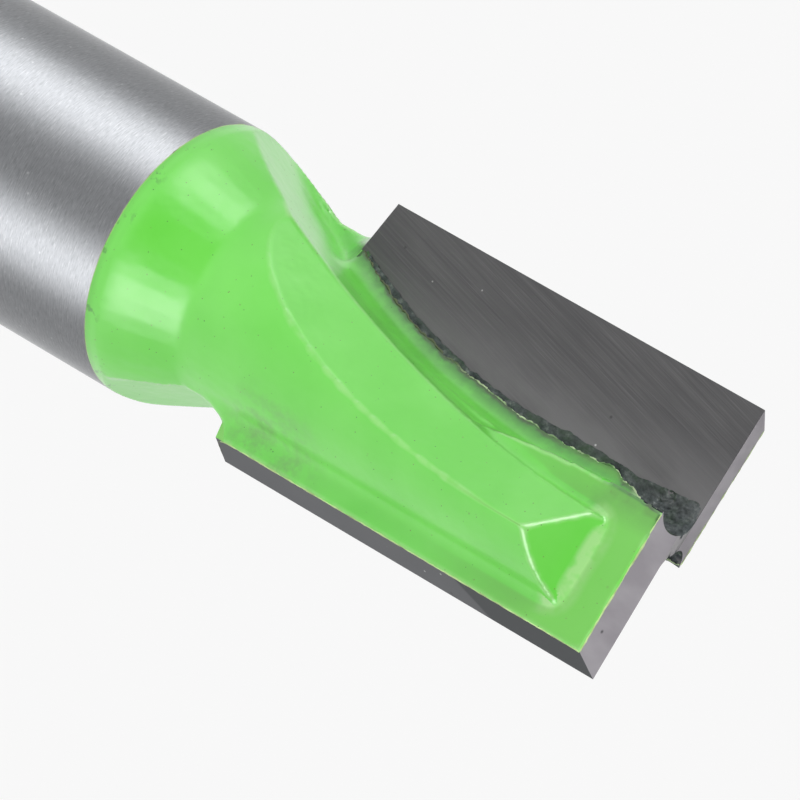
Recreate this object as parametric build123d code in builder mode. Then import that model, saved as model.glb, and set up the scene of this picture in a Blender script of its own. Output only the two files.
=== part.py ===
from build123d import *
import os
from math import acos, degrees, radians, sin, tan

# A straight router bit with two flutes and two brazed carbide inserts.
# Millimetres and degrees. The tool's axis is +Z, the origin is the centre of the
# shank's flat end face, and the cutting tip points up.

# Shank and neck
shank_diameter = 12.7
bare_shank_length = 38.1
shank_end_chamfer = 1.0
body_diameter = 10.1
neck_taper = 19.0
shoulder_radius = 3.5
neck_radius = 4.0

# Cutting part
cutting_diameter = 13.0
cutting_length = 20.0
neck_length = 7.25
insert_thickness = 1.5
insert_b_lead = 0.3
insert_end_skew = 9.0
hook_angle = 2.7
side_relief = 20.0
end_relief = 13.0
end_dish = 0.6

# Flutes: each is milled by a disc cutter that runs out on the neck
flute_cutter_radius = 50.0
flute_past_axis = 0.75
flute_deepest_from_tip = 1.5

# Sloping face behind each flute, cut by a second and smaller disc
slope_cutter_radius = 41.0
slope_angle = 50.0
slope_depth = 1.27
slope_deepest_from_tip = 4.75
slope_reach = 1.5

# Blunt steel end of each wing, which stops short of the tip
wing_end_setback = 2.35
wing_end_angle = 38.0

# Silver solder, and the round channel that the rake face is ground in
solder_gap = 0.08
channel_radius = 1.1
channel_past_wall = 0.15
channel_cutter_radius = 36.0
channel_deepest_from_tip = 6.25

# How far the cutting tools reach past the steel, so that each cut comes out clean
tool_overrun = 2.0

# Sizes that follow from the ones above
shank_radius = shank_diameter / 2
body_radius = body_diameter / 2
cutting_radius = cutting_diameter / 2
neck_start = bare_shank_length
insert_start = neck_start + neck_length
tip = insert_start + cutting_length
wing_end = tip - wing_end_setback
rake_offset = -cutting_radius * sin(radians(hook_angle))
seat_offset = rake_offset - insert_thickness
clear_of_body = max(shank_radius, cutting_radius) + tool_overrun
above_tip = tip + tool_overrun
wing_turns = (0, 180)
insert_starts = (insert_start, insert_start - insert_b_lead)


def wing_plane(turn, offset):
    # Parallel to one wing's rake face: local x runs out to the cutting edge, local y is +Z,
    # and the normal points into the wing's steel.
    outwards = Vector(1, 0, 0).rotate(Axis.Z, turn + hook_angle)
    forwards = Vector(0, 1, 0).rotate(Axis.Z, turn + hook_angle)
    return Plane(origin=forwards * offset, x_dir=outwards, z_dir=forwards * -1)


def slope_plane(turn, offset):
    # Square to the sloping face: local x is the distance from the axis, local y is +Z.
    away = Vector(1, 0, 0).rotate(Axis.Z, turn + slope_angle)
    along = Vector(0, -1, 0).rotate(Axis.Z, turn + slope_angle)
    return Plane(origin=along * offset, x_dir=away, z_dir=along)


def run_out_angle(radius, floor):
    # How far a disc of this radius turns from its deepest point until it is clear of the body.
    return degrees(acos((radius - (clear_of_body - floor)) / radius))


def disc_cut(plane, radius, floor, deepest):
    # What a disc cutter removes, seen along its axle: straight at the tip, an arc towards the shank.
    with BuildSketch(plane) as outline:
        with BuildLine():
            arc = CenterArc((floor + radius, deepest), radius, 180, run_out_angle(radius, floor))
            Polyline(arc @ 0, (floor, above_tip), (clear_of_body, above_tip), arc @ 1)
        make_face()
    return outline.sketch


def relief_plane(turn):
    # The clearance face ground behind a cutting edge, with its normal pointing outwards.
    edge = Vector(cutting_radius, 0, 0).rotate(Axis.Z, turn)
    return Plane(origin=edge, z_dir=Vector(1, 0, 0).rotate(Axis.Z, turn - side_relief))


def start_plane(turn, start):
    # The shank end of one insert, which is a little out of square, with its normal towards the tip.
    outwards = Vector(1, 0, 0).rotate(Axis.Z, turn + hook_angle)
    corner = Vector(cutting_radius, 0, 0).rotate(Axis.Z, turn) + Vector(0, 0, start)
    return Plane(origin=corner, z_dir=Vector(0, 0, 1) - outwards * tan(radians(insert_end_skew)))


def end_plane(turn):
    # The end face of one insert: it falls away behind the end edge and slightly towards the middle.
    outwards = Vector(1, 0, 0).rotate(Axis.Z, turn + hook_angle)
    forwards = Vector(0, 1, 0).rotate(Axis.Z, turn + hook_angle)
    corner = Vector(cutting_radius, 0, 0).rotate(Axis.Z, turn) + Vector(0, 0, tip)
    normal = Vector(0, 0, 1) - outwards * tan(radians(end_dish)) - forwards * tan(radians(end_relief))
    return Plane(origin=corner, z_dir=normal)


# The round channel in front of each rake face, as a tool to cut with.
# It is a torus towards the shank and straight towards the tip.
channels = []
for turn in wing_turns:
    wing = wing_plane(turn, rake_offset)
    deepest = tip - channel_deepest_from_tip
    middle = channel_past_wall + channel_radius
    level = Plane(
        origin=wing.from_local_coords((0, deepest, 0)),
        x_dir=wing.x_dir,
        z_dir=Vector(0, 0, 1),
    )
    spindle = Axis(
        wing.from_local_coords((channel_past_wall + channel_cutter_radius, deepest, 0)),
        wing.z_dir,
    )
    with BuildPart() as channel:
        with BuildSketch(level) as section:
            with Locations((middle, channel_radius)):
                Circle(channel_radius)
            with Locations((middle, 0)):
                Rectangle(clear_of_body, 2 * channel_radius, align=(Align.MIN, Align.MIN))
        extrude(amount=above_tip - deepest)
        revolve(
            section.sketch,
            axis=spindle,
            revolution_arc=run_out_angle(channel_cutter_radius, channel_past_wall),
        )
    channels.append(channel.part)

# Body: shank, neck and both wings are turned and milled from one bar of steel.
taper_start = neck_start + shoulder_radius * tan(radians(neck_taper / 2))
taper_end = taper_start + (shank_radius - body_radius) / tan(radians(neck_taper))
with BuildPart() as body:
    with BuildSketch(Plane.XZ) as turned:
        with BuildLine():
            Polyline(
                (0, 0),
                (shank_radius - shank_end_chamfer, 0),
                (shank_radius, shank_end_chamfer),
                (shank_radius, taper_start),
                (body_radius, taper_end),
                (body_radius, wing_end),
                (0, wing_end),
                close=True,
            )
        make_face()
        neck_corners = turned.vertices().filter_by_position(Axis.Y, neck_start, insert_start)
        shoulder_corner, foot_corner = neck_corners.sort_by(Axis.Y)
        fillet(shoulder_corner, shoulder_radius)
        fillet(foot_corner, neck_radius)
    revolve(axis=Axis.Z)
    for turn in wing_turns:
        # The flute, whose flat side is also the insert's seat
        flute = disc_cut(
            wing_plane(turn, seat_offset),
            flute_cutter_radius,
            -flute_past_axis,
            tip - flute_deepest_from_tip,
        )
        extrude(flute, amount=-2 * clear_of_body, mode=Mode.SUBTRACT)
        # The sloping face on the other wing's side of the flute
        slope = disc_cut(
            slope_plane(turn, slope_reach),
            slope_cutter_radius,
            slope_depth,
            tip - slope_deepest_from_tip,
        )
        extrude(slope, amount=-2 * clear_of_body, mode=Mode.SUBTRACT)
        # The blunt end of the wing, which falls away from the insert's back
        seat = wing_plane(turn, seat_offset)
        fall = clear_of_body * tan(radians(wing_end_angle))
        with BuildSketch(Plane(origin=seat.origin, x_dir=seat.z_dir, z_dir=seat.x_dir * -1)):
            with BuildLine():
                Polyline(
                    (0, wing_end),
                    (clear_of_body, wing_end - fall),
                    (clear_of_body, above_tip),
                    (0, above_tip),
                    close=True,
                )
            make_face()
        extrude(amount=clear_of_body, both=True, mode=Mode.SUBTRACT)
body.part.label = "body"

# Inserts: carbide plates that lie on the flat of a flute and reach its curved floor.
# The other flute's channel was ground into each plate's inner edge.
inserts = []
for letter, turn, start, far_channel in zip("ab", wing_turns, insert_starts, reversed(channels)):
    with BuildPart() as insert:
        plate = disc_cut(
            wing_plane(turn, rake_offset),
            flute_cutter_radius - solder_gap,
            solder_gap - flute_past_axis,
            tip - flute_deepest_from_tip,
        )
        extrude(plate, amount=insert_thickness)
        split(bisect_by=start_plane(turn, start), keep=Keep.TOP)
        split(bisect_by=relief_plane(turn), keep=Keep.BOTTOM)
        split(bisect_by=end_plane(turn), keep=Keep.BOTTOM)
        add(far_channel, mode=Mode.SUBTRACT)
    insert.part.label = "carbide_insert_" + letter
    inserts.append(insert.part)

# Silver solder: it fills the gap at each plate's inner edge, stands as a hollow fillet between
# the rake face and the flute's floor, and joins the two plates where they pass the axis.
fillings = []
for turn, start in zip(wing_turns, insert_starts):
    with BuildPart() as filling:
        filled = disc_cut(
            wing_plane(turn, seat_offset),
            flute_cutter_radius,
            -flute_past_axis,
            tip - flute_deepest_from_tip,
        )
        extrude(filled, amount=-(insert_thickness + channel_radius))
        split(bisect_by=start_plane(turn, start), keep=Keep.TOP)
        split(bisect_by=relief_plane(turn), keep=Keep.BOTTOM)
        for ground_end in wing_turns:
            split(bisect_by=end_plane(ground_end), keep=Keep.BOTTOM)
    fillings.append(filling.part)
with BuildPart() as solder:
    add(fillings)
    add(channels, mode=Mode.SUBTRACT)
    add(inserts, mode=Mode.SUBTRACT)
    add(body.part, mode=Mode.SUBTRACT)
solder.part.label = "silver_solder"

os.makedirs("parts", exist_ok=True)
for piece in (body.part, *inserts, solder.part):
    export_step(piece, "parts/" + piece.label + ".step")
    print(piece.label, "volume", round(piece.volume, 2), "solids", len(piece.solids()), "valid", piece.is_valid)
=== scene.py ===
# %% [markdown]
# # Dressing a straight router bit
# The CAD gives the true shapes: a steel body, two carbide inserts and the silver solder that holds them.
# Here the same part gets its looks: ground steel on the shank, a thick gloss paint that rounds every
# corner of the neck and wings, dark carbide with grinding lines, and the torn edge where the paint was
# ground away along the solder. Everything is in metres, in the CAD's own place.

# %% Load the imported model
import math
import bmesh
import bpy
import numpy as np
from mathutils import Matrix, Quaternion, Vector, noise


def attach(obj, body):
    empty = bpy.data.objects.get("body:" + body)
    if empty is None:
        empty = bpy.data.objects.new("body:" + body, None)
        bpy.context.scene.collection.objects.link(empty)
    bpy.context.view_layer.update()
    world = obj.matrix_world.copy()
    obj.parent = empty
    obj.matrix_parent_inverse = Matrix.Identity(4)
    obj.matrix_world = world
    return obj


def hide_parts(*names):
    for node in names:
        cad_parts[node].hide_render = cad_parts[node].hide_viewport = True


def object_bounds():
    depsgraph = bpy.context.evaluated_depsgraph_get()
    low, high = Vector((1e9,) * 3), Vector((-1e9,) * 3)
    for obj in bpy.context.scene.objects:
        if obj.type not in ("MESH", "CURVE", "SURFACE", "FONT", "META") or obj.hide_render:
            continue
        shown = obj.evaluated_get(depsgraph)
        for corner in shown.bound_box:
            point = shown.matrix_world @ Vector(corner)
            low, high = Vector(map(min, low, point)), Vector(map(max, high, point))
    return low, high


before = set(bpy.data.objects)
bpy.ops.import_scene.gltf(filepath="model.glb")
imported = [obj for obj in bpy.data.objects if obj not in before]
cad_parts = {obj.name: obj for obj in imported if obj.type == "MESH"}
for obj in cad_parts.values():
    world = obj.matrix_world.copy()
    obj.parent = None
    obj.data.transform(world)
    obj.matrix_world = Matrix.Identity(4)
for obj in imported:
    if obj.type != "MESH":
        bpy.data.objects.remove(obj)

cad_low, cad_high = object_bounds()
scene = bpy.context.scene
MM = 0.001
# The facets of the CAD's round shank stay a little inside its true radius. This is how far they reach.
widest = min(-cad_low[1], cad_high[1])
print("CAD nodes:", sorted(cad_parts))
print("CAD box in mm:", [round(v / MM, 2) for v in (*cad_low, *cad_high)])

# %% [markdown]
# ## The camera
# The photograph looks down on the standing bit from a little over 30 degrees, with a long lens, and is
# turned so that the tool runs from the upper left to the lower right. So the camera is set by the point
# it looks at, its direction and distance, and its roll about the line of sight.

# %% Camera at the photograph's angle
aim = Vector((-0.6, 0, 50.573)) * MM
view_azimuth = math.radians(-5.255)
view_elevation = math.radians(30.7079)
view_roll = math.radians(120.0667)
view_distance = 346.926 * MM


def direction_to(azimuth, elevation):
    # Azimuth is turned from +Y, which is the photograph's side, towards +X.
    level = math.cos(elevation)
    return Vector((math.sin(azimuth) * level, math.cos(azimuth) * level, math.sin(elevation)))


towards_camera = direction_to(view_azimuth, view_elevation)
camera_data = bpy.data.cameras.new("photo_camera")
camera_data.sensor_width = 36
camera_data.lens = 376.73
camera_data.clip_start = 0.01
camera_data.clip_end = 20
camera = bpy.data.objects.new("photo_camera", camera_data)
camera.rotation_mode = "QUATERNION"
camera.rotation_quaternion = towards_camera.to_track_quat("Z", "Y") @ Quaternion((0, 0, 1), view_roll)
camera.location = aim + towards_camera * view_distance
scene.collection.objects.link(camera)
scene.camera = camera
scene.view_settings.view_transform = "Standard"
print("camera place in mm:", [round(v / MM, 1) for v in camera.location])

# %% [markdown]
# ## Small helpers for node trees
# Every finish below is a tree of shader nodes. These helpers keep each tree short to read. One adds a
# node with its settings and inputs, and the others stand for the few kinds of node that come back most.
# All patterns sit on Object coordinates, so they stay on the piece when it moves.

# %% Helpers that add nodes
def new_material(name):
    material = bpy.data.materials.new(name)
    material.use_nodes = True
    material.node_tree.nodes.clear()
    return material, material.node_tree


def feed(tree, socket, value):
    # Links an input to another node's output, or gives it a value of its own.
    if isinstance(value, bpy.types.NodeSocket):
        tree.links.new(value, socket)
    elif socket.type == "RGBA":
        socket.default_value = (*value, 1)
    else:
        socket.default_value = value


def add_node(tree, kind, inputs=None, **settings):
    node = tree.nodes.new(kind)
    for name, value in settings.items():
        setattr(node, name, value)
    for name, value in (inputs or {}).items():
        feed(tree, node.inputs[name], value)
    return node


def made_by(tree, kind, inputs=None, **settings):
    # The first output of a new node
    return add_node(tree, kind, inputs, **settings).outputs[0]


def maths(tree, operation, *values):
    return made_by(tree, "ShaderNodeMath", dict(enumerate(values)), operation=operation)


def times(tree, first, second):
    return maths(tree, "MULTIPLY", first, second)


def rise(tree, value, start, end, low=0.0, high=1.0):
    # Runs from low to high while the value runs from start to end, and stays level outside.
    inputs = {"Value": value, "From Min": start, "From Max": end, "To Min": low, "To Max": high}
    return made_by(tree, "ShaderNodeMapRange", inputs)


def ramp(tree, source, *stops):
    # Each stop is a place from 0 to 1, with the colour or the grey level there.
    node = add_node(tree, "ShaderNodeValToRGB", {"Fac": source})
    elements = node.color_ramp.elements
    while len(elements) < len(stops):
        elements.new(0.5)
    for element, (place, colour) in zip(elements, stops):
        element.position = place
        element.color = (*colour, 1) if isinstance(colour, tuple) else (colour, colour, colour, 1)
    return node.outputs["Color"]


def mix_colour(tree, share, first, second):
    inputs = {"Factor": share, 6: first, 7: second}
    return add_node(tree, "ShaderNodeMix", inputs, data_type="RGBA").outputs[2]


def layered(tree, tone, *layers):
    # Lays one colour after another over a tone, each with its own share.
    for share, colour in layers:
        tone = mix_colour(tree, share, tone, colour)
    return tone


# %% Helpers that read the surface and make patterns on it
def object_place(tree):
    return add_node(tree, "ShaderNodeTexCoord").outputs["Object"]


def surface_normal(tree):
    return add_node(tree, "ShaderNodeNewGeometry").outputs["Normal"]


def stored(tree, name):
    # A number that was stored at every point of the mesh
    return add_node(tree, "ShaderNodeAttribute", attribute_name=name).outputs["Fac"]


def axes_of(tree, vector):
    return add_node(tree, "ShaderNodeSeparateXYZ", {"Vector": vector}).outputs


def reach_along(tree, vector, direction):
    inputs = {0: vector, 1: direction}
    return add_node(tree, "ShaderNodeVectorMath", inputs, operation="DOT_PRODUCT").outputs["Value"]


def mapped(tree, vector, **inputs):
    return made_by(tree, "ShaderNodeMapping", {"Vector": vector, **inputs})


def noise_on(tree, place, scale, detail=2.0, roughness=0.5):
    inputs = {"Vector": place, "Scale": scale, "Detail": detail, "Roughness": roughness}
    return add_node(tree, "ShaderNodeTexNoise", inputs).outputs["Fac"]


def grinding_lines(tree, turn, stretch, detail, seed):
    # A noise that is turned and stretched so much that it reads as parallel lines
    turned = mapped(tree, object_place(tree), Rotation=turn)
    lines = mapped(tree, turned, Scale=stretch, Location=(seed, seed * 0.7, seed * 1.3))
    return noise_on(tree, lines, 1.0, detail)


def dots_on(tree, place, scale, radius, strength=1.0, core=0.0):
    # One soft dot in each cell of a Voronoi pattern
    cells = add_node(tree, "ShaderNodeTexVoronoi", {"Vector": place, "Scale": scale})
    return ramp(tree, cells.outputs["Distance"], (core, strength), (radius, 0.0))


def bump(tree, height, depth_mm, strength):
    inputs = {"Height": height, "Strength": strength, "Distance": depth_mm * MM}
    return add_node(tree, "ShaderNodeBump", inputs).outputs["Normal"]


# %% Helpers that end a material
def principled(tree, **inputs):
    named = {name.replace("_", " "): value for name, value in inputs.items()}
    return made_by(tree, "ShaderNodeBsdfPrincipled", named)


def mix_shaders(tree, share, first, second):
    return made_by(tree, "ShaderNodeMixShader", {0: share, 1: first, 2: second})


def finished(material, shader):
    tree = material.node_tree
    add_node(tree, "ShaderNodeOutputMaterial", {"Surface": shader})
    print(material.name, "nodes:", len(tree.nodes))
    return material


# %% [markdown]
# ## Ground steel
# The shank was ground on a cylindrical grinder, so its fine lines run round it, and a highlight is
# drawn out along the shank into long bands. An anisotropic metal does that: its tangent runs round the
# axis. The lines could be modelled, but they are far too many, so they are a noise of height, almost
# constant round the shank. A trace of oil on the steel is a thin coat.

# %% Ground steel
def ground_steel():
    material, tree = new_material("ground_steel")
    place = object_place(tree)
    x, y, z = axes_of(tree, place)
    round_and_up = made_by(tree, "ShaderNodeCombineXYZ", {"X": maths(tree, "ARCTAN2", y, x), "Y": z})
    grain = noise_on(tree, mapped(tree, round_and_up, Scale=(9, 9000, 1)), 1.0, 3.0, 0.65)
    streak = noise_on(tree, mapped(tree, round_and_up, Scale=(16, 16000, 1)), 1.0, 2.0, 0.7)
    cloud = noise_on(tree, place, 900.0, 4.0)
    dark_streak = ramp(tree, streak, (0.34, 0.45), (0.48, 0.0))
    bright_streak = ramp(tree, streak, (0.56, 0.0), (0.70, 0.5))
    tone = layered(
        tree, ramp(tree, grain, (0.30, (0.53, 0.545, 0.57)), (0.70, (0.61, 0.625, 0.65))),
        (dark_streak, (0.33, 0.345, 0.365)),
        (bright_streak, (0.86, 0.865, 0.88)),
        (ramp(tree, cloud, (0.35, 0.0), (0.75, 0.2)), (0.46, 0.475, 0.50)),
        (dots_on(tree, place, 1100.0, 0.09), (0.85, 0.86, 0.87)),
    )
    around = made_by(tree, "ShaderNodeTangent", direction_type="RADIAL", axis="Z")
    return finished(material, principled(
        tree, Base_Color=tone, Metallic=1.0, Roughness=ramp(tree, grain, (0.3, 0.54), (0.7, 0.64)),
        Anisotropic=1.0, Anisotropic_Rotation=0.25, Tangent=around, Coat_Weight=0.45, Coat_Roughness=0.08,
        Normal=bump(tree, grain, 0.004, 0.35),
    ))


steel = ground_steel()

# %% [markdown]
# ## Ground carbide
# Tungsten carbide is a dark, almost black metal. The rake face was ground with a diamond wheel that left
# fine lines at a slant to the tool's axis, and the relief faces were ground finer. Each insert carries
# the same tree, turned to its own wing, which tells the faces apart by their normals, so the mesh need
# not be split. The insert's back and shank end are painted, so the tree turns green there, which keeps
# the edge clean wherever the coat's rim stands back a little. The end faces get a far lighter tone
# than the sides, and insert a's end lighter still, as a painted reflection, and a paler band beside
# the seam on the rake face is a painted sheen.

# %% The places of each wing
hook = math.radians(2.7)
cutting_radius = 6.5 * MM
cutting_length = 20.0 * MM
insert_b_lead = 0.3 * MM
paint_border = 38.1 * MM
tip = 65.35 * MM
insert_start = {"a": tip - cutting_length, "b": tip - cutting_length - insert_b_lead}
edge_out = cutting_radius / MM
wing_turn = {"a": 0.0, "b": math.pi}
rake_offset = -cutting_radius * math.sin(hook)
end_skew = math.tan(math.radians(9))


def below_tip(distance):
    return tip - distance * MM


def above_border(distance):
    return paint_border + distance * MM


def wing_directions(letter):
    turn = wing_turn[letter] + hook
    outwards = Vector((math.cos(turn), math.sin(turn), 0))
    forwards = Vector((-math.sin(turn), math.cos(turn), 0))
    return outwards, forwards


def wing_spot(letter, out, front, above):
    # From mm out along the wing, in front of the rake face and above the insert's start
    outwards, forwards = wing_directions(letter)
    spot = outwards * out * MM + forwards * (rake_offset + front * MM)
    spot.z = insert_start[letter] + above * MM
    return spot


print("rake face offset in mm:", round(rake_offset / MM, 3))


# %% Tones of the carbide's faces
# How much each insert's end tone is lifted. Insert a's end is tilted the other way and is painted lighter,
# a painted reflection.
end_painted_light = {"a": 2.4, "b": 1.0}


def rake_tone(tree, outward, scratches, fine, blotches):
    # Lined by the wheel, with a painted sheen that is paler towards the seam
    inner = rise(tree, outward, 4.4 * MM, 1.8 * MM)
    painted_sheen = times(tree, inner, ramp(tree, blotches, (0.35, 0.25), (0.6, 0.75)))
    return layered(
        tree, ramp(tree, scratches, (0.30, (0.108, 0.107, 0.110)), (0.70, (0.139, 0.137, 0.140))),
        (ramp(tree, fine, (0.50, 0.0), (0.78, 0.45)), (0.20, 0.196, 0.20)),
        (ramp(tree, blotches, (0.40, 0.0), (0.7, 0.35)), (0.095, 0.094, 0.098)),
        (painted_sheen, (0.215, 0.213, 0.216)),
    )


def relief_tone(tree, letter, place, upwards, blotches):
    # The side is darker past a slanted line near the tip, where it was ground a second time.
    x, y, z = axes_of(tree, place)
    slanted = maths(tree, "MULTIPLY_ADD", maths(tree, "ABSOLUTE", y), 1.13, z)
    mottled = ramp(tree, blotches, (0.4, 0.0), (0.65, 1.0))
    side = layered(
        tree, (0.090, 0.093, 0.101),
        (mottled, (0.100, 0.103, 0.111)),
        (rise(tree, slanted, below_tip(5.6), below_tip(5.35)), (0.032, 0.037, 0.041)),
    )
    # The end faces take a far lighter tone than the sides, which is a painted reflection.
    end_painted_tones = (0.27, 0.255, 0.275), (0.33, 0.315, 0.335)
    end = mix_colour(tree, mottled, *(tuple(end_painted_light[letter] * c for c in tone) for tone in end_painted_tones))
    return mix_colour(tree, ramp(tree, upwards, (0.5, 0.0), (0.8, 1.0)), side, end)


def painted_share(tree, letter, place, facing, outward, upwards):
    # 1 on the back, on the shank end, and in the corner where the seam starts
    behind = maths(tree, "LESS_THAN", facing, -0.9)
    shank_end = maths(tree, "LESS_THAN", upwards, -0.5)
    inside = maths(tree, "LESS_THAN", outward, 4.05 * MM)
    low = maths(tree, "LESS_THAN", axes_of(tree, place)["Z"], insert_start[letter] + 0.1 * MM)
    return maths(tree, "MAXIMUM", maths(tree, "MAXIMUM", behind, shank_end), times(tree, inside, low))


# %% Ground carbide
def ground_carbide(letter):
    material, tree = new_material("ground_carbide_" + letter)
    outwards, forwards = wing_directions(letter)
    slant = (0, math.radians(14.5 if letter == "a" else -14.5), 0)
    place = object_place(tree)
    normal = surface_normal(tree)
    upwards = axes_of(tree, normal)["Z"]
    facing = reach_along(tree, normal, forwards)
    outward = reach_along(tree, place, outwards)
    on_rake = ramp(tree, facing, (0.6, 0.0), (0.8, 1.0))
    scratches = grinding_lines(tree, slant, (9000, 500, 160), 3.0, 1.0)
    fine = grinding_lines(tree, slant, (26000, 900, 500), 2.0, 5.0)
    blotches = grinding_lines(tree, slant, (700, 300, 240), 3.0, 9.0)
    tone = layered(
        tree, relief_tone(tree, letter, place, upwards, blotches),
        (on_rake, rake_tone(tree, outward, scratches, fine, blotches)),
        (dots_on(tree, place, 560.0, 0.06), (0.03, 0.03, 0.032)),
        (dots_on(tree, place, 420.0, 0.026), (0.75, 0.75, 0.74)),
    )
    lined = ramp(tree, scratches, (0.3, 0.30), (0.7, 0.46))
    metal = principled(
        tree, Base_Color=tone, Metallic=1.0, Roughness=mix_colour(tree, on_rake, (0.38, 0.38, 0.38), lined),
        Normal=bump(tree, mix_colour(tree, on_rake, (0.5, 0.5, 0.5), scratches), 0.003, 0.5),
    )
    paint = principled(tree, Base_Color=(0.24, 0.62, 0.14), Roughness=0.3)
    painted = painted_share(tree, letter, place, facing, outward, upwards)
    return finished(material, mix_shaders(tree, painted, metal, paint))


for letter in "ab":
    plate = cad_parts["carbide_insert_" + letter]
    plate.data.materials.clear()
    plate.data.materials.append(ground_carbide(letter))

# %% [markdown]
# ## Silver solder
# Beside the rake face the bare solder shows: dull, dark from flux and oxide, and lumpy. Its finest lumps
# are too small to model, so a noise gives their tone and height, and a wider one stains them. At the
# tip it was ground flush with the plates, so it is a light grey there. Where it lies under the coat it
# is coloured like paint, so that a thin edge doesn't show through, and burnt dark where the seam starts.

# %% Silver solder
def oxidised_solder():
    material, tree = new_material("oxidised_solder")
    place = object_place(tree)
    lumps = noise_on(tree, place, 2600.0, 6.0, 0.7)
    stains = noise_on(tree, place, 900.0, 3.0)
    light = (0.30, 0.33, 0.31)
    ground = ramp(tree, axes_of(tree, surface_normal(tree))["Z"], (0.7, 0.0), (0.9, 1.0))
    tone = layered(
        tree, ramp(tree, lumps, (0.3, (0.020, 0.026, 0.030)), (0.55, (0.075, 0.09, 0.09)), (0.8, light)),
        (ramp(tree, stains, (0.5, 0.0), (0.7, 0.5)), (0.06, 0.11, 0.055)),
        (rise(tree, stored(tree, "torn_near"), 0.12, 0.45, high=0.55), (0.11, 0.115, 0.118)),
        (ground, (0.34, 0.33, 0.34)),
    )
    metal = principled(
        tree, Base_Color=tone, Metallic=0.4, Roughness=ramp(tree, lumps, (0.3, 0.75), (0.8, 0.45)),
        Normal=bump(tree, lumps, 0.05, 0.8),
    )
    outwards, forwards = wing_directions("a")
    height = axes_of(tree, place)["Z"]
    # Above 0 in front of either wing, where the coat lies over the solder
    front = times(tree, reach_along(tree, place, forwards), reach_along(tree, place, outwards))
    low = maths(tree, "LESS_THAN", height, below_tip(3.15))
    covered = times(tree, maths(tree, "GREATER_THAN", front, 0.0), low)
    start = maths(tree, "LESS_THAN", height, insert_start["a"] + 0.15 * MM)
    paint_tone = mix_colour(tree, start, (0.12, 0.58, 0.06), (0.045, 0.12, 0.035))
    paint = principled(tree, Base_Color=paint_tone, Roughness=0.3)
    return finished(material, mix_shaders(tree, maths(tree, "MAXIMUM", covered, start), metal, paint))


solder_finish = oxidised_solder()

# %% [markdown]
# ## The steel shank
# The painted part of the body is hidden by its coat, so only the shank is shown bare. It is swept by
# Geometry Nodes: a straight line along the axis carries a circle, and the line's radius steps in at the
# end chamfer. A cylinder with a bevel would do too, but here every size is a named input, and the
# chamfer's rounded edges catch the light.

# %% Helpers that turn a modifier's result into a plain mesh
def new_carrier(mesh, name):
    carrier = bpy.data.objects.new(name + "_carrier", mesh)
    scene.collection.objects.link(carrier)
    return carrier


def plain_mesh(carrier, name):
    evaluated = carrier.evaluated_get(bpy.context.evaluated_depsgraph_get())
    mesh = bpy.data.meshes.new_from_object(evaluated)
    mesh.name = name
    bpy.data.objects.remove(carrier)
    return mesh


def through_modifier(mesh, name, kind, **settings):
    carrier = new_carrier(mesh, name)
    modifier = carrier.modifiers.new(name, kind)
    for setting, value in settings.items():
        setattr(modifier, setting, value)
    return plain_mesh(carrier, name)


def show(mesh, finish=None):
    # Puts a mesh in the scene. One that Geometry Nodes made has its finish already.
    if finish:
        mesh.materials.clear()
        mesh.materials.append(finish)
    made = bpy.data.objects.new(mesh.name, mesh)
    scene.collection.objects.link(made)
    print(made.name, "triangles:", sum(len(p.vertices) - 2 for p in mesh.polygons))
    return made


# %% Helpers for Geometry Nodes
def new_tree(name, inputs):
    # Takes a mesh, the named inputs with their usual values, and a finish.
    tree = bpy.data.node_groups.new(name, "GeometryNodeTree")

    def add_socket(label, kind, side="INPUT"):
        return tree.interface.new_socket(label, in_out=side, socket_type="NodeSocket" + kind)

    add_socket("Geometry", "Geometry")
    for label, value in inputs.items():
        kind = "Int" if isinstance(value, int) else "Float"
        add_socket(label, kind).default_value = value
    add_socket("Finish", "Material")
    add_socket("Geometry", "Geometry", "OUTPUT")
    return tree, tree.nodes.new("NodeGroupInput").outputs


def end_tree(tree, geometry, finish):
    # Every tree ends in real geometry that carries its material.
    real = made_by(tree, "GeometryNodeRealizeInstances", {0: geometry})
    dressed = made_by(tree, "GeometryNodeSetMaterial", {"Geometry": real, "Material": finish})
    add_node(tree, "NodeGroupOutput", {0: dressed})
    return tree


def make_with(tree, name, values, base=None):
    carrier = new_carrier(base or bpy.data.meshes.new(name + "_base"), name)
    modifier = carrier.modifiers.new("make", "NODES")
    modifier.node_group = tree
    for item in tree.interface.items_tree:
        if item.item_type == "SOCKET" and item.in_out == "INPUT" and item.name in values:
            modifier[item.identifier] = values[item.name]
    return show(plain_mesh(carrier, name))


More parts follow.
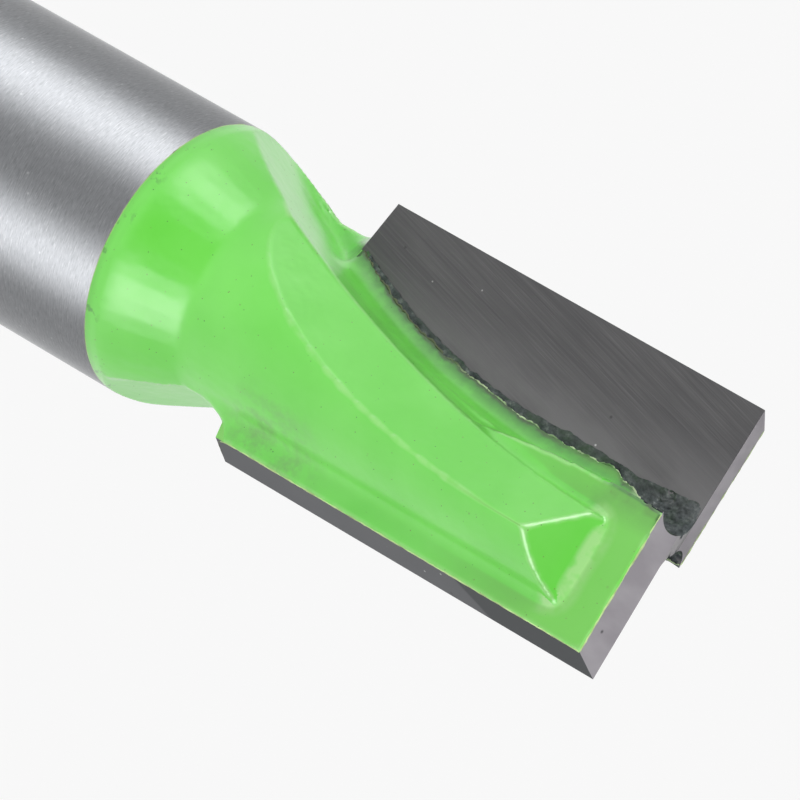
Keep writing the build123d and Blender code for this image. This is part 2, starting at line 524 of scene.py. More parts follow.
# %% Shank by Geometry Nodes
def shank_tree():
    tree, source = new_tree("turned_shank", {
        "Shank radius": 6.35 * MM, "Shank length": 38.1 * MM, "End chamfer": 1.0 * MM,
        "Rounded edge": 0.1 * MM,
    })
    radius = source["Shank radius"]
    chamfer = source["End chamfer"]
    edge = source["Rounded edge"]
    small = maths(tree, "SUBTRACT", radius, chamfer)

    def near(size, share):
        return maths(tree, "MULTIPLY_ADD", edge, share, size)

    profile = (
        # The height and the radius at each corner, from the flat end up
        (0.0, near(small, -1.0)),
        (near(0.0, 0.3), near(small, -0.3)),
        (edge, near(small, 0.6)),
        (near(chamfer, -1.0), near(radius, -1.0)),
        (chamfer, near(radius, -0.25)),
        (near(chamfer, 1.0), radius),
        (source["Shank length"], radius),
    )
    index = made_by(tree, "GeometryNodeInputIndex")

    def at_each_corner(column):
        choice = add_node(tree, "GeometryNodeIndexSwitch", {"Index": index}, data_type="FLOAT")
        while len(choice.index_switch_items) < len(profile):
            choice.index_switch_items.new()
        for number, corner in enumerate(profile):
            feed(tree, choice.inputs[number + 1], corner[column])
        return choice.outputs[0]

    line = made_by(tree, "GeometryNodeMeshLine", {"Count": len(profile)})
    spot = made_by(tree, "ShaderNodeCombineXYZ", {"Z": at_each_corner(0)})
    place = made_by(tree, "GeometryNodeSetPosition", {"Geometry": line, "Position": spot})
    inputs = {"Geometry": place, "Name": "turned_radius", "Value": at_each_corner(1)}
    marked = made_by(tree, "GeometryNodeStoreNamedAttribute", inputs, domain="POINT")
    curve = made_by(tree, "GeometryNodeMeshToCurve", {0: marked})
    ring = made_by(tree, "GeometryNodeCurvePrimitiveCircle", {"Resolution": 256, "Radius": 1.0})
    scale = made_by(tree, "GeometryNodeInputNamedAttribute", {"Name": "turned_radius"})
    inputs = {"Curve": curve, "Profile Curve": ring, "Scale": scale, "Fill Caps": True}
    swept = made_by(tree, "GeometryNodeCurveToMesh", inputs)
    return end_tree(tree, swept, source["Finish"])


# The shank stays just inside the CAD box, and ends a little above the paint's border, under the coat.
inside_box = 0.0015 * MM
under_coat = 0.03 * MM
shank_values = {
    "Shank radius": widest - inside_box, "Shank length": paint_border + under_coat, "Finish": steel,
}
shank = make_with(shank_tree(), "steel_shank", shank_values)
for face in shank.data.polygons:
    face.use_smooth = abs(face.normal.z) < 0.99
corners = shank.bound_box[0], shank.bound_box[6]
print("shank box in mm:", [tuple(round(c / MM, 2) for c in corner) for corner in corners])

# %% [markdown]
# ## The paint coat
# Gloss paint is thick beside the size of this tool: it rounds the wings' edges and pools in their
# corners. A bevel on the CAD mesh could not follow where flats and arcs run out, so the coat is grown:
# the body, inserts and solder are merged, remeshed in small voxels as one skin, smoothed, and set out
# by the coat's thickness. Then it is trimmed wherever the grinder took the paint off. At each insert's
# shank end a run of solder lies under the paint, made of two rounded lumps.

# %% Merge the solids
same_spot = 0.0001 * MM
head_from = above_border(-1.5)
solder_runs = (
    # Corners of the two lumps in mm, as wing_spot has them, above the insert's skewed start
    ((2.6, -1.8, -2.2), (4.65, -1.8, -2.2), (2.6, -1.8, -0.8), (4.8, -1.8, -0.8),
     (2.6, -1.5, -2.1), (4.6, -1.5, -2.1), (2.6, -1.05, -0.95), (4.6, -1.05, -0.95)),
    ((2.6, -1.8, -1.0), (4.75, -1.8, -1.0), (2.6, -1.8, 0.3), (5.15, -1.8, 0.3), (4.85, -1.5, -0.8),
     (5.2, -1.5, 0.1), (2.6, -1.1, -1.0), (4.6, -1.1, -1.0), (2.6, -0.1, 0.0), (4.55, -0.1, 0.0),
     (2.6, -0.1, 0.3), (4.55, -0.1, 0.3)),
)


def shape_of(mesh):
    shape = bmesh.new()
    shape.from_mesh(mesh)
    return shape


def mesh_of(shape, name):
    mesh = bpy.data.meshes.new(name)
    shape.to_mesh(mesh)
    shape.free()
    return mesh


def solder_run(letter, corners):
    lump = bmesh.new()
    for out, front, above in corners:
        lump.verts.new(wing_spot(letter, out, front, above + (out - edge_out) * end_skew))
    bmesh.ops.convex_hull(lump, input=lump.verts)
    return mesh_of(lump, "solder_run")


def upper_part(name):
    # A CAD node's mesh from just below the paint's border up, closed again at the cut
    shape = shape_of(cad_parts[name].data)
    bmesh.ops.remove_doubles(shape, verts=shape.verts, dist=same_spot)
    cut = bmesh.ops.bisect_plane(
        shape, geom=[*shape.verts, *shape.edges, *shape.faces],
        plane_co=(0, 0, head_from), plane_no=(0, 0, 1), clear_inner=True,
    )
    rim = [g for g in cut["geom_cut"] if isinstance(g, bmesh.types.BMEdge)]
    if rim:
        bmesh.ops.holes_fill(shape, edges=rim)
    return mesh_of(shape, name + "_upper")


def merged_head():
    parts = [solder_run(letter, corners) for letter in "ab" for corners in solder_runs]
    for name in ("body", "carbide_insert_a", "carbide_insert_b", "silver_solder"):
        parts.append(upper_part(name))
    head = bmesh.new()
    for part in parts:
        head.from_mesh(part)
    return mesh_of(head, "head")


# %% Grow the skin
voxel = 0.105 * MM
coat_thickness = 0.06 * MM
rounding_passes = 4


def neighbour_pairs(mesh):
    pairs = np.empty(len(mesh.edges) * 2, np.int64)
    mesh.edges.foreach_get("vertices", pairs)
    pairs = pairs.reshape(-1, 2)
    count = np.bincount(pairs.ravel(), minlength=len(mesh.vertices)).astype(float)
    return pairs, np.maximum(count, 1)


def neighbour_mean(values):
    total = np.zeros_like(values)
    for column in range(values.shape[1]):
        for here, there in ((0, 1), (1, 0)):
            total[:, column] += np.bincount(pairs[:, here], values[pairs[:, there], column], len(values))
    return total / count[:, None]


def read_points(items, name):
    values = np.empty(len(items) * 3)
    items.foreach_get(name, values)
    return values.reshape(-1, 3)


def move_skin(points):
    skin.vertices.foreach_set("co", points.ravel())
    skin.update()


fine_voxels = {"mode": "VOXEL", "voxel_size": voxel, "use_smooth_shade": True}
skin = through_modifier(merged_head(), "skin", "REMESH", **fine_voxels)
pairs, count = neighbour_pairs(skin)
points = read_points(skin.vertices, "co")
for step in range(rounding_passes):
    points = points + 0.5 * (neighbour_mean(points) - points)
    points = points - 0.35 * (neighbour_mean(points) - points) if step % 2 else points
move_skin(points)
print("skin vertices:", len(skin.vertices))

# %% [markdown]
# ## Pooled paint
# Wet paint runs into corners and rounds them more than it rounds ridges, and it drowns the step where
# the solder ends. So the smoothing goes on a while there. Then each point learns how sharply the skin
# bends, which the paint's material uses: on a ridge the coat is thin and pale, with a painted highlight
# too, and in a corner it pools deeper, with painted shade too.

# %% Pool the paint and measure the bend
pooling_passes = 60
full_pool_bend = 0.2
drowned = (
    # Middles as wing_spot has them, and reach, in mm, of where the paint floods the solder's end
    (3.3, 0.7, -0.2, 2.0), (3.0, 1.1, 0.1, 1.6), (4.1, -0.8, -0.9, 1.7), (5.0, -1.6, -0.2, 1.1),
)


def bend_of(points):
    # Per mm: below 0 on a ridge, above 0 in a corner
    move_skin(points)
    normals = read_points(skin.vertex_normals, "vector")
    lift = ((neighbour_mean(points) - points) * normals).sum(1)
    return normals, lift / (voxel * voxel) * MM


def softened(values, times_over):
    for step in range(times_over):
        values = neighbour_mean(values[:, None])[:, 0]
    return values


flooded = np.zeros(len(points))
for letter in "ab":
    for out, front, above, reach in drowned:
        middle = np.array(wing_spot(letter, out, front, above))
        away = np.linalg.norm(points - middle, axis=1) / MM
        flooded = np.maximum(flooded, np.clip(2 - 2 * away / reach, 0, 1))
for step in range(pooling_passes):
    normals, bend = bend_of(points)
    share = np.maximum(np.clip(softened(bend, 2) / full_pool_bend, 0, 1), flooded)[:, None]
    points = points + 0.5 * share * (neighbour_mean(points) - points)
bare_points = points
normals, bend = bend_of(points)
bend = softened(bend, 1)
print("bend from", round(float(bend.min()), 2), "to", round(float(bend.max()), 2), "per mm")

# %% [markdown]
# ## Where the paint was ground away
# The grinder cut three kinds of clean face on each plate: the rake face, the relief along the side and
# the relief at the end. Beside the rake face the wheel tore the paint, and near the tip it left the
# hollow between the plates bare. For each point, one number per zone says how far inside it lies, in
# mm, and the skin is cut where that number is zero.

# %% Sizes of the zones in mm
channel_radius = 1.1
channel_past_wall = 0.15
channel_cutter_radius = 36.0
channel_deepest = below_tip(6.25) / MM
side_relief = math.radians(20)
end_dish = math.tan(math.radians(0.6))
end_relief = math.tan(math.radians(13))
bare_tip_from = below_tip(2.85) / MM
# How far the zones reach, measured from the rake face, from the cut faces and from the axis
rake_front, rake_back = 0.8, 0.35
seam_front, seam_back = 0.9, 0.3
seam_under_coat = 0.3
cut_margin = 0.05
start_margin = 0.02
hollow_margin = 0.16
hollow_front = 2.02
hollow_past_axis = 0.4
far_outside = -9.0
# How far the paint is torn back from the channel's foot, and how far the bare seam reaches past it,
# at heights up the tool
torn_back = (
    (45.0, 0.02), (47.4, 0.19), (50.5, 0.22), (51.8, 0.13), (53.3, 0.06), (57.0, 0.06),
    (60.0, -0.06), (60.9, -0.18), (61.5, 0.16), (62.3, 0.3), (64.0, 0.4),
)
bare_to = (
    (45.0, 0.14), (50.0, 0.10), (51.9, 0.10), (54.7, 0.22), (57.0, 0.38),
    (58.5, 0.52), (61.0, 0.42), (62.0, 0.34), (63.5, 0.5), (65.4, 0.62),
)


def wander(point, scale, depth, seed):
    # A smooth and repeatable irregularity, in mm, for a point in mm
    return depth * noise.fractal(Vector(point) * scale + Vector((seed, 0, 0)), 1.0, 2.0, 4)


def channel_foot(height):
    # Where the channel's arc meets the rake face, out from the axis
    drop = max(0.0, channel_deepest - height)
    middle = channel_past_wall + channel_radius + channel_cutter_radius
    return middle - math.sqrt(channel_cutter_radius ** 2 - drop * drop)


print("channel's foot at the tip in mm:", round(channel_foot(tip / MM), 2))


# %% Zones on one wing and on the whole skin
def wing_zones(letter, point, rough, fine):
    x, y, z = point
    outwards, forwards = wing_directions(letter)
    turn = wing_turn[letter]
    foot = channel_foot(z)
    setback = np.interp(z, *zip(*torn_back))
    out = x * outwards.x + y * outwards.y
    front = x * forwards.x + y * forwards.y - rake_offset / MM
    past_start = z - insert_start[letter] / MM - (out - edge_out) * end_skew + start_margin
    torn = out - foot + setback - rough * min(1.0, 0.4 + abs(setback) * 3)
    side = x * math.cos(turn - side_relief) + y * math.sin(turn - side_relief)
    side -= edge_out * math.cos(side_relief)
    corner = Vector((edge_out * math.cos(turn), edge_out * math.sin(turn), tip / MM))
    slope = Vector((0, 0, 1)) - outwards * end_dish - forwards * end_relief
    end = (Vector(point) - corner).dot(slope.normalized())
    in_channel = channel_radius + hollow_margin - math.hypot(out - foot, front - channel_radius)
    hollow = min(z - bare_tip_from + 2 * rough, in_channel, out + hollow_past_axis, hollow_front - front)
    bare = foot + np.interp(z, *zip(*bare_to)) + 0.7 * rough - out
    seam = min(torn + seam_under_coat, bare, seam_front - front, front + seam_back, past_start)
    return {
        "rake": min(torn, rake_front - front, front + rake_back, past_start),
        "side": min(side + cut_margin + 0.4 * fine, past_start),
        "end": end + cut_margin + 0.3 * fine,
        "hollow": hollow,
        "seam": max(seam, min(hollow + seam_under_coat, bare)),
    }


def zones(point):
    rough = wander(point, 2.2, 0.10, 3.0) + wander(point, 6.0, 0.05, 8.0)
    fine = wander(point, 6.0, 0.03, 8.0)
    both = [wing_zones(letter, point, rough, fine) for letter in "ab"]
    found = {name: max(far_outside, *(wing[name] for wing in both)) for name in both[0]}
    found["border"] = paint_border / MM + start_margin + 0.3 * fine - point[2]
    return found


# %% Measure the zones at every point of the skin
# The lips lie on the coat, so the coat stays a little further inside the CAD box than the shank.
coat_reach = widest - inside_box - 0.001 * MM


def store(name, values):
    layer = skin.attributes.new(name, "FLOAT", "POINT")
    layer.data.foreach_set("value", np.asarray(values, np.float32))


measured = [zones(point) for point in bare_points / MM]
depth = {name: np.array([found[name] for found in measured]) for name in measured[0]}
ground = np.maximum.reduce([depth[name] for name in ("rake", "side", "end", "hollow", "border")])
store("bend", bend)
store("ground_depth", ground)
store("seam_depth", np.maximum(-depth["seam"], depth["end"]))
store("torn_near", np.maximum(depth["rake"], depth["hollow"]))
coat_points = bare_points + normals * coat_thickness
radial = np.hypot(coat_points[:, 0], coat_points[:, 1])
too_wide = radial > coat_reach
coat_points[too_wide, :2] *= (coat_reach / radial[too_wide])[:, None]
move_skin(coat_points)
print("points in the ground zones:", int((ground > 0).sum()), "of", len(ground))


# %% Trim the coat
def triangulated(shape):
    bmesh.ops.triangulate(shape, faces=shape.faces)


def trim(mesh, name, layer):
    # Cuts a skin along the line where its stored depth is zero, and keeps the side below zero.
    shape = shape_of(mesh)
    triangulated(shape)
    stored_depth = shape.verts.layers.float[layer]
    inside = {v: v[stored_depth] for v in shape.verts}
    for edge in [e for e in shape.edges if (inside[e.verts[0]] > 0) != (inside[e.verts[1]] > 0)]:
        first, second = edge.verts
        share = inside[first] / (inside[first] - inside[second])
        new_edge, middle = bmesh.utils.edge_split(edge, first, min(0.97, max(0.03, share)))
        inside[middle] = 0.0
    for face in [f for f in shape.faces if sum(inside[v] == 0.0 for v in f.verts) == 2]:
        first, second = [v for v in face.verts if inside[v] == 0.0]
        if not any(second in e.verts for e in first.link_edges):
            bmesh.utils.face_split(face, first, second)
    gone = [f for f in shape.faces if any(inside[v] > 0 for v in f.verts)]
    bmesh.ops.delete(shape, geom=gone, context="FACES")
    bmesh.ops.delete(shape, geom=[v for v in shape.verts if not v.link_faces], context="VERTS")
    triangulated(shape)
    for face in shape.faces:
        face.smooth = True
    return mesh_of(shape, name)


# The export needs fewer triangles than the full coat has, and its flats can spare them.
most_triangles = 170000
full_coat = trim(skin, "full_coat", "ground_depth")
kept_share = min(1.0, most_triangles / len(full_coat.polygons))
coat_mesh = through_modifier(full_coat, "paint_coat", "DECIMATE", ratio=kept_share)
print("full coat:", len(full_coat.polygons), "triangles, thinned to", len(coat_mesh.polygons))

# %% [markdown]
# ## The bare seam
# Between the torn paint and the clean carbide lies a dark and lumpy seam of solder and burnt flux, wider
# near the tip. It is another cut of the same skin, divided finer and pushed out by a noise. It reaches
# in under the coat and stays low there, so that the paint always lies on top of it.

# %% Bare seam
lumpy_above = below_tip(2.15) / MM


def seam_height(spot, normal):
    # In mm above the skin. The face that looks across the hollow at the tip is lumpier.
    lump = 0.5 + wander(spot, 3.0, 0.9, 21.0) + wander(spot, 8.0, 0.6, 33.0)
    height = 0.015 + 0.03 * min(1.0, max(0.0, lump))
    if spot.z > lumpy_above and normal.z < 0.5:
        height += 0.06 * (lump - 0.5)
    return height


def bare_seam():
    move_skin(bare_points)
    mesh = trim(skin, "bare_seam", "seam_depth")
    shape = shape_of(mesh)
    bmesh.ops.subdivide_edges(shape, edges=shape.edges, cuts=1, use_grid_fill=True)
    triangulated(shape)
    shape.normal_update()
    ground_depth = shape.verts.layers.float["ground_depth"]
    for vert in shape.verts:
        covered = vert[ground_depth] < 0
        height = 0.005 if covered else seam_height(vert.co / MM, vert.normal)
        vert.co += vert.normal * height * MM
    for face in shape.faces:
        face.smooth = True
    shape.to_mesh(mesh)
    shape.free()
    return show(mesh, solder_finish)


seam = bare_seam()

# %% [markdown]
# ## The solder's body
# This piece stands for the CAD solid. It is a copy with its corners joined, and it keeps its shape where
# it shows, at the tip. Under the coat its points are drawn in a little, so that nothing pierces the
# paint.

# %% Solder body
longest_edge = 0.4 * MM
drawn_in = 0.12 * MM


def solder_body():
    shape = shape_of(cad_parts["silver_solder"].data)
    bmesh.ops.remove_doubles(shape, verts=shape.verts, dist=same_spot)
    triangulated(shape)
    long_edges = [e for e in shape.edges if e.calc_length() > longest_edge]
    bmesh.ops.subdivide_edges(shape, edges=long_edges, cuts=2)
    triangulated(shape)
    shape.normal_update()
    moves = []
    for vert in shape.verts:
        found = zones(vert.co / MM)
        bare = max(found["hollow"], found["end"] + 0.1, -0.6)
        moves.append(-vert.normal * drawn_in * min(1.0, max(0.0, -bare * 5)))
    for vert, move in zip(shape.verts, moves):
        vert.co += move
    return show(mesh_of(shape, "solder_body"), solder_finish)


core = solder_body()

# %% [markdown]
# ## Gloss paint
# The colour is a bright yellowish green under a clear gloss, with soft clouds that keep large faces
# from looking flat. Over it lie layers, one after another: pale where the coat is thin on a ridge,
# which is partly a painted highlight, and deeper where it pools, which is partly painted shade, dust, a
# stain beside one insert, darker paint beside the seam, painted shade in a corner, a painted reflection
# at the foot of each wing's end, painted shade on the inserts' backs near the tip, and painted shade, a
# pale line and small nicks where it was masked off the shank. All are noises and measured distances,
# which stay sharp close up and need no unwrapping, as a painted picture would. A faint wave in the
# surface breaks up the reflections, as sprayed paint does.

# %% Layers of the paint
pale_green = (0.38, 0.66, 0.27)
stain_middle = wing_spot("b", 5.495, -2.055, 2.55)


def thickness_layers(tree, place, bend, breaks, patches):
    # Pale where the coat is thin on a ridge, partly a painted highlight; deeper green where it pools in a
    # corner, partly painted shade; then dust.
    ridge = rise(tree, bend, -0.22, -0.60, high=0.75)
    specks = dots_on(tree, place, 900.0, 0.075, 0.75, 0.02)
    return (
        (times(tree, ridge, ramp(tree, breaks, (0.32, 0.15), (0.5, 0.55))), pale_green),
        (rise(tree, bend, 0.2, 1.0, high=0.32), (0.075, 0.40, 0.03)),
        (times(tree, specks, ramp(tree, patches, (0.5, 0.0), (0.6, 1.0))), (0.10, 0.26, 0.03)),
    )


def stain_and_seam_layers(tree, place, height, breaks, dirt):
    # The stain beside insert b, then darker paint beside the seam and the dark rim beside it
    inputs = {0: place, 1: stain_middle}
    away = add_node(tree, "ShaderNodeVectorMath", inputs, operation="DISTANCE").outputs["Value"]
    stained = times(tree, rise(tree, away, 3.4 * MM, 1.2 * MM), ramp(tree, dirt, (0.42, 0.0), (0.68, 0.6)))
    torn = stored(tree, "torn_near")
    darker_beside_seam = rise(tree, height, below_tip(6.35), below_tip(9.85), low=0.9)
    darker_beside_seam = times(tree, rise(tree, torn, -0.95, -0.10), darker_beside_seam)
    rim = times(tree, rise(tree, torn, -0.20, -0.08), ramp(tree, breaks, (0.38, 0.2), (0.55, 0.9)))
    return (
        (stained, (0.13, 0.27, 0.08)),
        (times(tree, darker_beside_seam, ramp(tree, dirt, (0.30, 0.6), (0.52, 1.0))), (0.05, 0.21, 0.032)),
        (rim, (0.035, 0.07, 0.022)),
    )


def place_layers(tree, bend, height, breaks):
    # Painted shade in the corner at the inserts' start, a painted reflection in the corner at the foot of
    # each wing's end, and painted shade on the backs of the inserts near the tip
    low = rise(tree, height, below_tip(20.95), below_tip(22.55))
    corner_shade = times(tree, low, rise(tree, bend, 0.30, 0.9))
    # Painted reflection: pale in the corner at the foot of each wing's end
    foot = times(tree, rise(tree, bend, 0.02, 0.12), rise(tree, height, below_tip(3.35), below_tip(2.95)))
    facing = reach_along(tree, surface_normal(tree), wing_directions("a")[1])
    flat = ramp(tree, maths(tree, "ABSOLUTE", facing), (0.96, 0.0), (0.99, 0.6))
    return (
        (corner_shade, (0.10, 0.13, 0.09)),
        (times(tree, foot, ramp(tree, breaks, (0.35, 0.3), (0.5, 0.75))), pale_green),
        (times(tree, flat, rise(tree, height, below_tip(9.35), below_tip(4.35))), (0.125, 0.42, 0.045)),
    )


def border_layers(tree, height, patches, dirt):
    # Painted shade just above the paint's border, then the pale masking line and the small nicks
    line = rise(tree, height, above_border(0.09), above_border(0.04))
    near_border = rise(tree, height, above_border(0.85), above_border(0.25))
    return (
        (rise(tree, height, above_border(0.4), above_border(0.15), high=0.45), (0.095, 0.44, 0.035)),
        (times(tree, line, ramp(tree, patches, (0.35, 0.25), (0.6, 0.85))), (0.30, 0.42, 0.15)),
        (times(tree, near_border, ramp(tree, dirt, (0.60, 0.0), (0.65, 0.8))), (0.055, 0.24, 0.03)),
    )


# %% Gloss paint
def gloss_paint():
    material, tree = new_material("gloss_paint")
    place = object_place(tree)
    height = axes_of(tree, place)["Z"]
    bend = stored(tree, "bend")
    clouds = noise_on(tree, place, 260.0, 3.0)
    breaks = noise_on(tree, place, 1300.0)
    patches = noise_on(tree, place, 1500.0)
    dirt = noise_on(tree, place, 1100.0, 5.0, 0.65)
    waves = noise_on(tree, place, 420.0, 3.0)
    tone = layered(
        tree, ramp(tree, clouds, (0.35, (0.115, 0.60, 0.042)), (0.65, (0.145, 0.64, 0.066))),
        *thickness_layers(tree, place, bend, breaks, patches),
        *stain_and_seam_layers(tree, place, height, breaks, dirt),
        *place_layers(tree, bend, height, breaks),
        *border_layers(tree, height, patches, dirt),
    )
    return finished(material, principled(
        tree, Base_Color=tone, Roughness=0.36, Coat_Weight=1.0, Coat_Roughness=0.26, Coat_IOR=1.6,
        Normal=bump(tree, waves, 0.16, 0.75),
    ))


coat = show(coat_mesh, gloss_paint())

# %% [markdown]
# ## Lips of paint
# Wherever the grinder cut the coat, its edge shows as a thin pale line: straight and cream beside the
# relief faces, ragged and whitish along the seam, where it is burnt dark towards the shank, and a fine
# brownish line where the paint was masked off the shank. Solidifying the coat would give one even edge,
# so Geometry Nodes runs a bead along each open edge, with its own unevenness for each kind of cut.

# %% Edges of the coat, sorted by what cut them
lip_sunk = 0.35 * coat_thickness
lip_kinds = {"rake": "torn", "hollow": "torn", "side": "ground", "end": "ground", "border": "masked"}


def wire_of(name, spots):
    # Each two spots are the ends of one edge, and edges that meet are joined.
    lines = [(number, number + 1) for number in range(0, len(spots), 2)]
    wire = bpy.data.meshes.new(name)
    wire.from_pydata(spots, lines, [])
    joined = shape_of(wire)
    bmesh.ops.remove_doubles(joined, verts=joined.verts, dist=10 * same_spot)
    joined.to_mesh(wire)
    joined.free()
    print(name, "edges:", len(wire.edges))
    return wire


def open_edges(mesh):
    shape = shape_of(mesh)
    shape.normal_update()
    spots = {kind: [] for kind in ("ground", "torn", "masked")}
    for edge in shape.edges:
        if edge.is_boundary:
            found = zones((edge.verts[0].co + edge.verts[1].co) / 2 / MM)
            kind = lip_kinds[max(lip_kinds, key=found.get)]
            spots[kind].extend(v.co - v.normal * lip_sunk for v in edge.verts)
    shape.free()
    return {kind: wire_of(kind + "_edge", ends) for kind, ends in spots.items()}


# %% Finish of the lips
def lip_paint(name, tone, stain_tone, burnt_below=0.0, fade=0.05 * MM):
    material, tree = new_material(name)
    place = object_place(tree)
    patches = noise_on(tree, place, 1400.0, 3.0)
    burnt = rise(tree, axes_of(tree, place)["Z"], burnt_below + fade, burnt_below)
    mixed = layered(
        tree, tone,
        (ramp(tree, patches, (0.42, 0.0), (0.62, 1.0)), stain_tone),
        (burnt, (0.09, 0.11, 0.05)),
    )
    return finished(material, principled(tree, Base_Color=mixed, Roughness=0.5))


# %% Lips by Geometry Nodes
def lip_tree():
    tree, source = new_tree("paint_lip", {
        "Bead radius": 0.03 * MM, "Unevenness": 0.5, "Raggedness": 0.01 * MM,
        "Spacing": 0.07 * MM, "Lump size": 0.3 * MM,
    })
    path = made_by(tree, "GeometryNodeMeshToCurve", {0: source["Geometry"]})
    inputs = {"Curve": path, "Length": source["Spacing"]}
    even = made_by(tree, "GeometryNodeResampleCurve", inputs, mode="LENGTH")
    spot = made_by(tree, "GeometryNodeInputPosition")
    rate = maths(tree, "DIVIDE", 1.0, source["Lump size"])
    lumps = add_node(tree, "ShaderNodeTexNoise", {"Vector": spot, "Scale": rate, "Detail": 3.0})
    inputs = {0: lumps.outputs["Color"], 1: (0.5, 0.5, 0.5)}
    push = made_by(tree, "ShaderNodeVectorMath", inputs, operation="SUBTRACT")
    inputs = {0: push, "Scale": source["Raggedness"]}
    ragged = made_by(tree, "ShaderNodeVectorMath", inputs, operation="SCALE")
    moved = made_by(tree, "GeometryNodeSetPosition", {"Geometry": even, "Offset": ragged})
    swing = times(tree, maths(tree, "SUBTRACT", lumps.outputs["Fac"], 0.5), source["Unevenness"])
    thick = maths(tree, "MAXIMUM", maths(tree, "MULTIPLY_ADD", swing, 4.0, 1.0), 0.15)
    radius = times(tree, thick, source["Bead radius"])
    ring = made_by(tree, "GeometryNodeCurvePrimitiveCircle", {"Resolution": 6, "Radius": 1.0})
    inputs = {"Curve": moved, "Profile Curve": ring, "Scale": radius, "Fill Caps": True}
    bead = made_by(tree, "GeometryNodeCurveToMesh", inputs)
    return end_tree(tree, bead, source["Finish"])


cream = lip_paint("cream_edge", (0.52, 0.70, 0.30), (0.34, 0.46, 0.18), insert_start["b"] + 0.12 * MM)
whitish = lip_paint("torn_edge", (0.56, 0.70, 0.42), (0.10, 0.22, 0.07), below_tip(14.35), 3.0 * MM)
brown = lip_paint("masked_edge", (0.34, 0.50, 0.16), (0.17, 0.19, 0.09))
bead_tree = lip_tree()
edge_wires = open_edges(full_coat)
lips = {}
for kind, finish, bead, unevenness, raggedness, spacing, lump_size in (
    # The bead's radius, raggedness, spacing and lump size are in mm.
    ("ground", cream, 0.036, 0.5, 0.03, 0.08, 0.5),
    ("torn", whitish, 0.040, 1.2, 0.16, 0.06, 0.3),
    ("masked", brown, 0.032, 0.4, 0.02, 0.12, 0.8),
):
    lips[kind] = make_with(bead_tree, kind + "_lip", {
        "Bead radius": bead * MM, "Unevenness": unevenness, "Raggedness": raggedness * MM,
        "Spacing": spacing * MM, "Lump size": lump_size * MM, "Finish": finish,
    }, edge_wires[kind])
for vert in lips["masked"].data.vertices:
    # The line of paint round the shank is rubbed flat, level with the steel.
    reached = math.hypot(vert.co.x, vert.co.y)
    if reached > widest:
        vert.co.xy *= widest / reached

# %% [markdown]
# ## Dust in the paint
# A sprayed coat catches dust. Dark dots in the material would stay flat, so Geometry Nodes scatters small
# flattened specks over it, each a little sunk in the surface, with a fixed seed.

# %% Dust by Geometry Nodes
def dust_tree():
    tree, source = new_tree("dust_specks", {
        "Specks per square metre": 1.1e6, "Smallest": 0.009 * MM, "Largest": 0.03 * MM, "Seed": 4,
    })
    seed = source["Seed"]
    inputs = {"Mesh": source["Geometry"], "Density": source["Specks per square metre"], "Seed": seed}
    spread = add_node(tree, "GeometryNodeDistributePointsOnFaces", inputs).outputs
    inputs = {"Min": source["Smallest"], "Max": source["Largest"], "Seed": seed}
    size = add_node(tree, "FunctionNodeRandomValue", inputs, data_type="FLOAT").outputs[1]
    flat = made_by(tree, "ShaderNodeCombineXYZ", {"X": size, "Y": size, "Z": times(tree, size, 0.4)})
    speck = made_by(tree, "GeometryNodeMeshIcoSphere", {"Radius": 1.0, "Subdivisions": 1})
    placed = made_by(tree, "GeometryNodeInstanceOnPoints", {
        "Points": spread["Points"], "Instance": speck, "Rotation": spread["Rotation"], "Scale": flat,
    })
    return end_tree(tree, placed, source["Finish"])


dust_finish = lip_paint("dust", (0.035, 0.11, 0.02), (0.16, 0.20, 0.05))
dust = make_with(dust_tree(), "dust_specks", {"Finish": dust_finish}, coat_mesh.copy())

# %% [markdown]
# ## Floor and light
# The tool stands on a plain white floor that keeps its shadow. Two large soft boxes, one on each side of
# the camera, make the two long bright bands on the shank, with a dark band between them where the
# camera stands. Each narrows its beam, so that its reflection fades towards its edges. A weak box above
# and one behind light the faces that turn away. The room is white to the camera but dim in reflections,
# because a white room would fill the dark bands that the photograph shows on the steel.

# %% White floor
floor_reach = 3.0
just_below = 0.05 * MM


def white_floor():
    # Lit like a pale floor, and mostly plain white to the camera and in reflections
    material, tree = new_material("white_floor")
    rays = add_node(tree, "ShaderNodeLightPath").outputs
    seen = maths(tree, "MAXIMUM", rays["Is Camera Ray"], rays["Is Glossy Ray"])
    seen = maths(tree, "MAXIMUM", seen, rays["Is Transmission Ray"])
    plain = made_by(tree, "ShaderNodeBsdfDiffuse", {"Color": (0.86, 0.86, 0.86)})
    white = made_by(tree, "ShaderNodeEmission", {"Strength": 1.0})
    return finished(material, mix_shaders(tree, times(tree, seen, 0.8), plain, white))


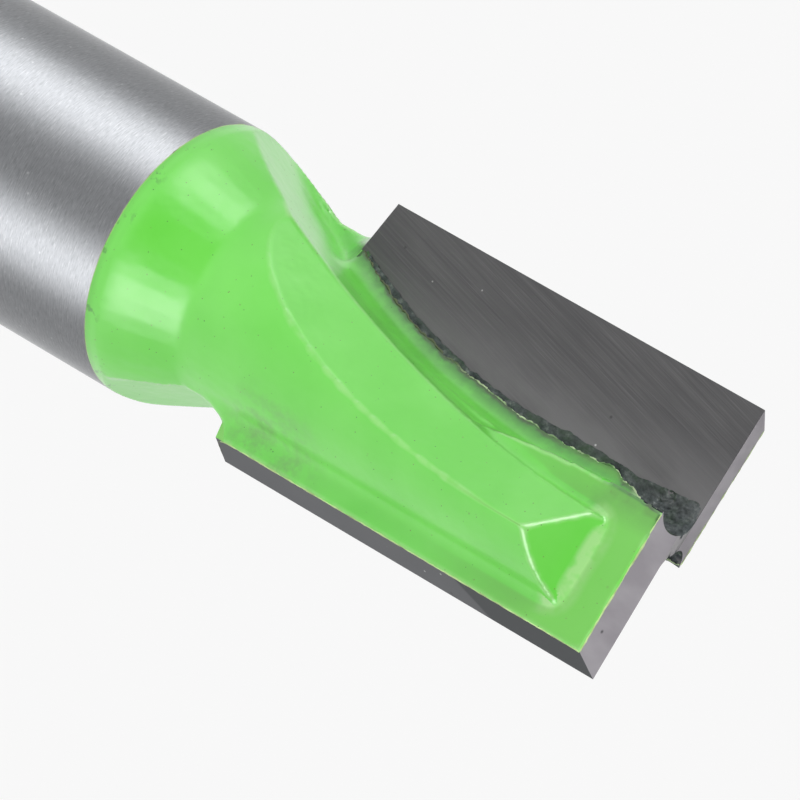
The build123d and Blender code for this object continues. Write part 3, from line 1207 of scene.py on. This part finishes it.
floor_mesh = bpy.data.meshes.new("floor")
corners = [(x * floor_reach, y * floor_reach, 0) for x, y in ((-1, -1), (1, -1), (1, 1), (-1, 1))]
floor_mesh.from_pydata(corners, [], [(0, 1, 2, 3)])
floor_mesh.materials.append(white_floor())
floor = bpy.data.objects.new("floor", floor_mesh)
floor.location.z = -just_below
scene.collection.objects.link(floor)

# %% Soft boxes
lit_middle = Vector((0, 0, 0.04))


def soft_box(name, azimuth, elevation, distance, width, height, power, spread=180):
    # A small spread fades the box towards its edges.
    lamp = bpy.data.lights.new(name, "AREA")
    lamp.spread = math.radians(spread)
    lamp.shape = "RECTANGLE"
    lamp.size = width
    lamp.size_y = height
    lamp.energy = power
    box = bpy.data.objects.new(name, lamp)
    direction = direction_to(math.radians(azimuth), math.radians(elevation))
    box.location = direction * distance + lit_middle
    box.rotation_mode = "QUATERNION"
    box.rotation_quaternion = direction.to_track_quat("Z", "Y")
    scene.collection.objects.link(box)
    print(name, "watts:", power)


soft_box("soft_box_right", 54, 21, 0.8, 0.9, 0.9, 1.9, 60)
soft_box("soft_box_left", -52, 18, 0.8, 0.9, 0.9, 1.85, 60)
soft_box("soft_box_top", 0, 80, 0.8, 0.6, 0.6, 0.25)
soft_box("soft_box_back", 180, 50, 0.9, 0.8, 0.6, 2.0)

# %% The room
room = bpy.data.worlds.new("room")
scene.world = room
room.use_nodes = True
room_tree = room.node_tree
room_tree.nodes.clear()
levels = 0.12, 1.0
dim, white = (
    made_by(room_tree, "ShaderNodeBackground", {"Color": (1, 1, 1), "Strength": level}) for level in levels
)
camera_ray = add_node(room_tree, "ShaderNodeLightPath").outputs["Is Camera Ray"]
both = mix_shaders(room_tree, camera_ray, dim, white)
add_node(room_tree, "ShaderNodeOutputWorld", {"Surface": both})
print("room levels in reflections and to the camera:", levels)

# %% [markdown]
# ## Hand the pieces over
# The shank and the coat together stand for the CAD body. Every piece rides on the part's one body.

# %% Hand over
for piece in (shank, coat):
    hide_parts("body")
for piece in (seam, core):
    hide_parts("silver_solder")
for piece in (shank, coat, *lips.values(), dust):
    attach(piece, "root")
for piece in (seam, core):
    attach(piece, "root")
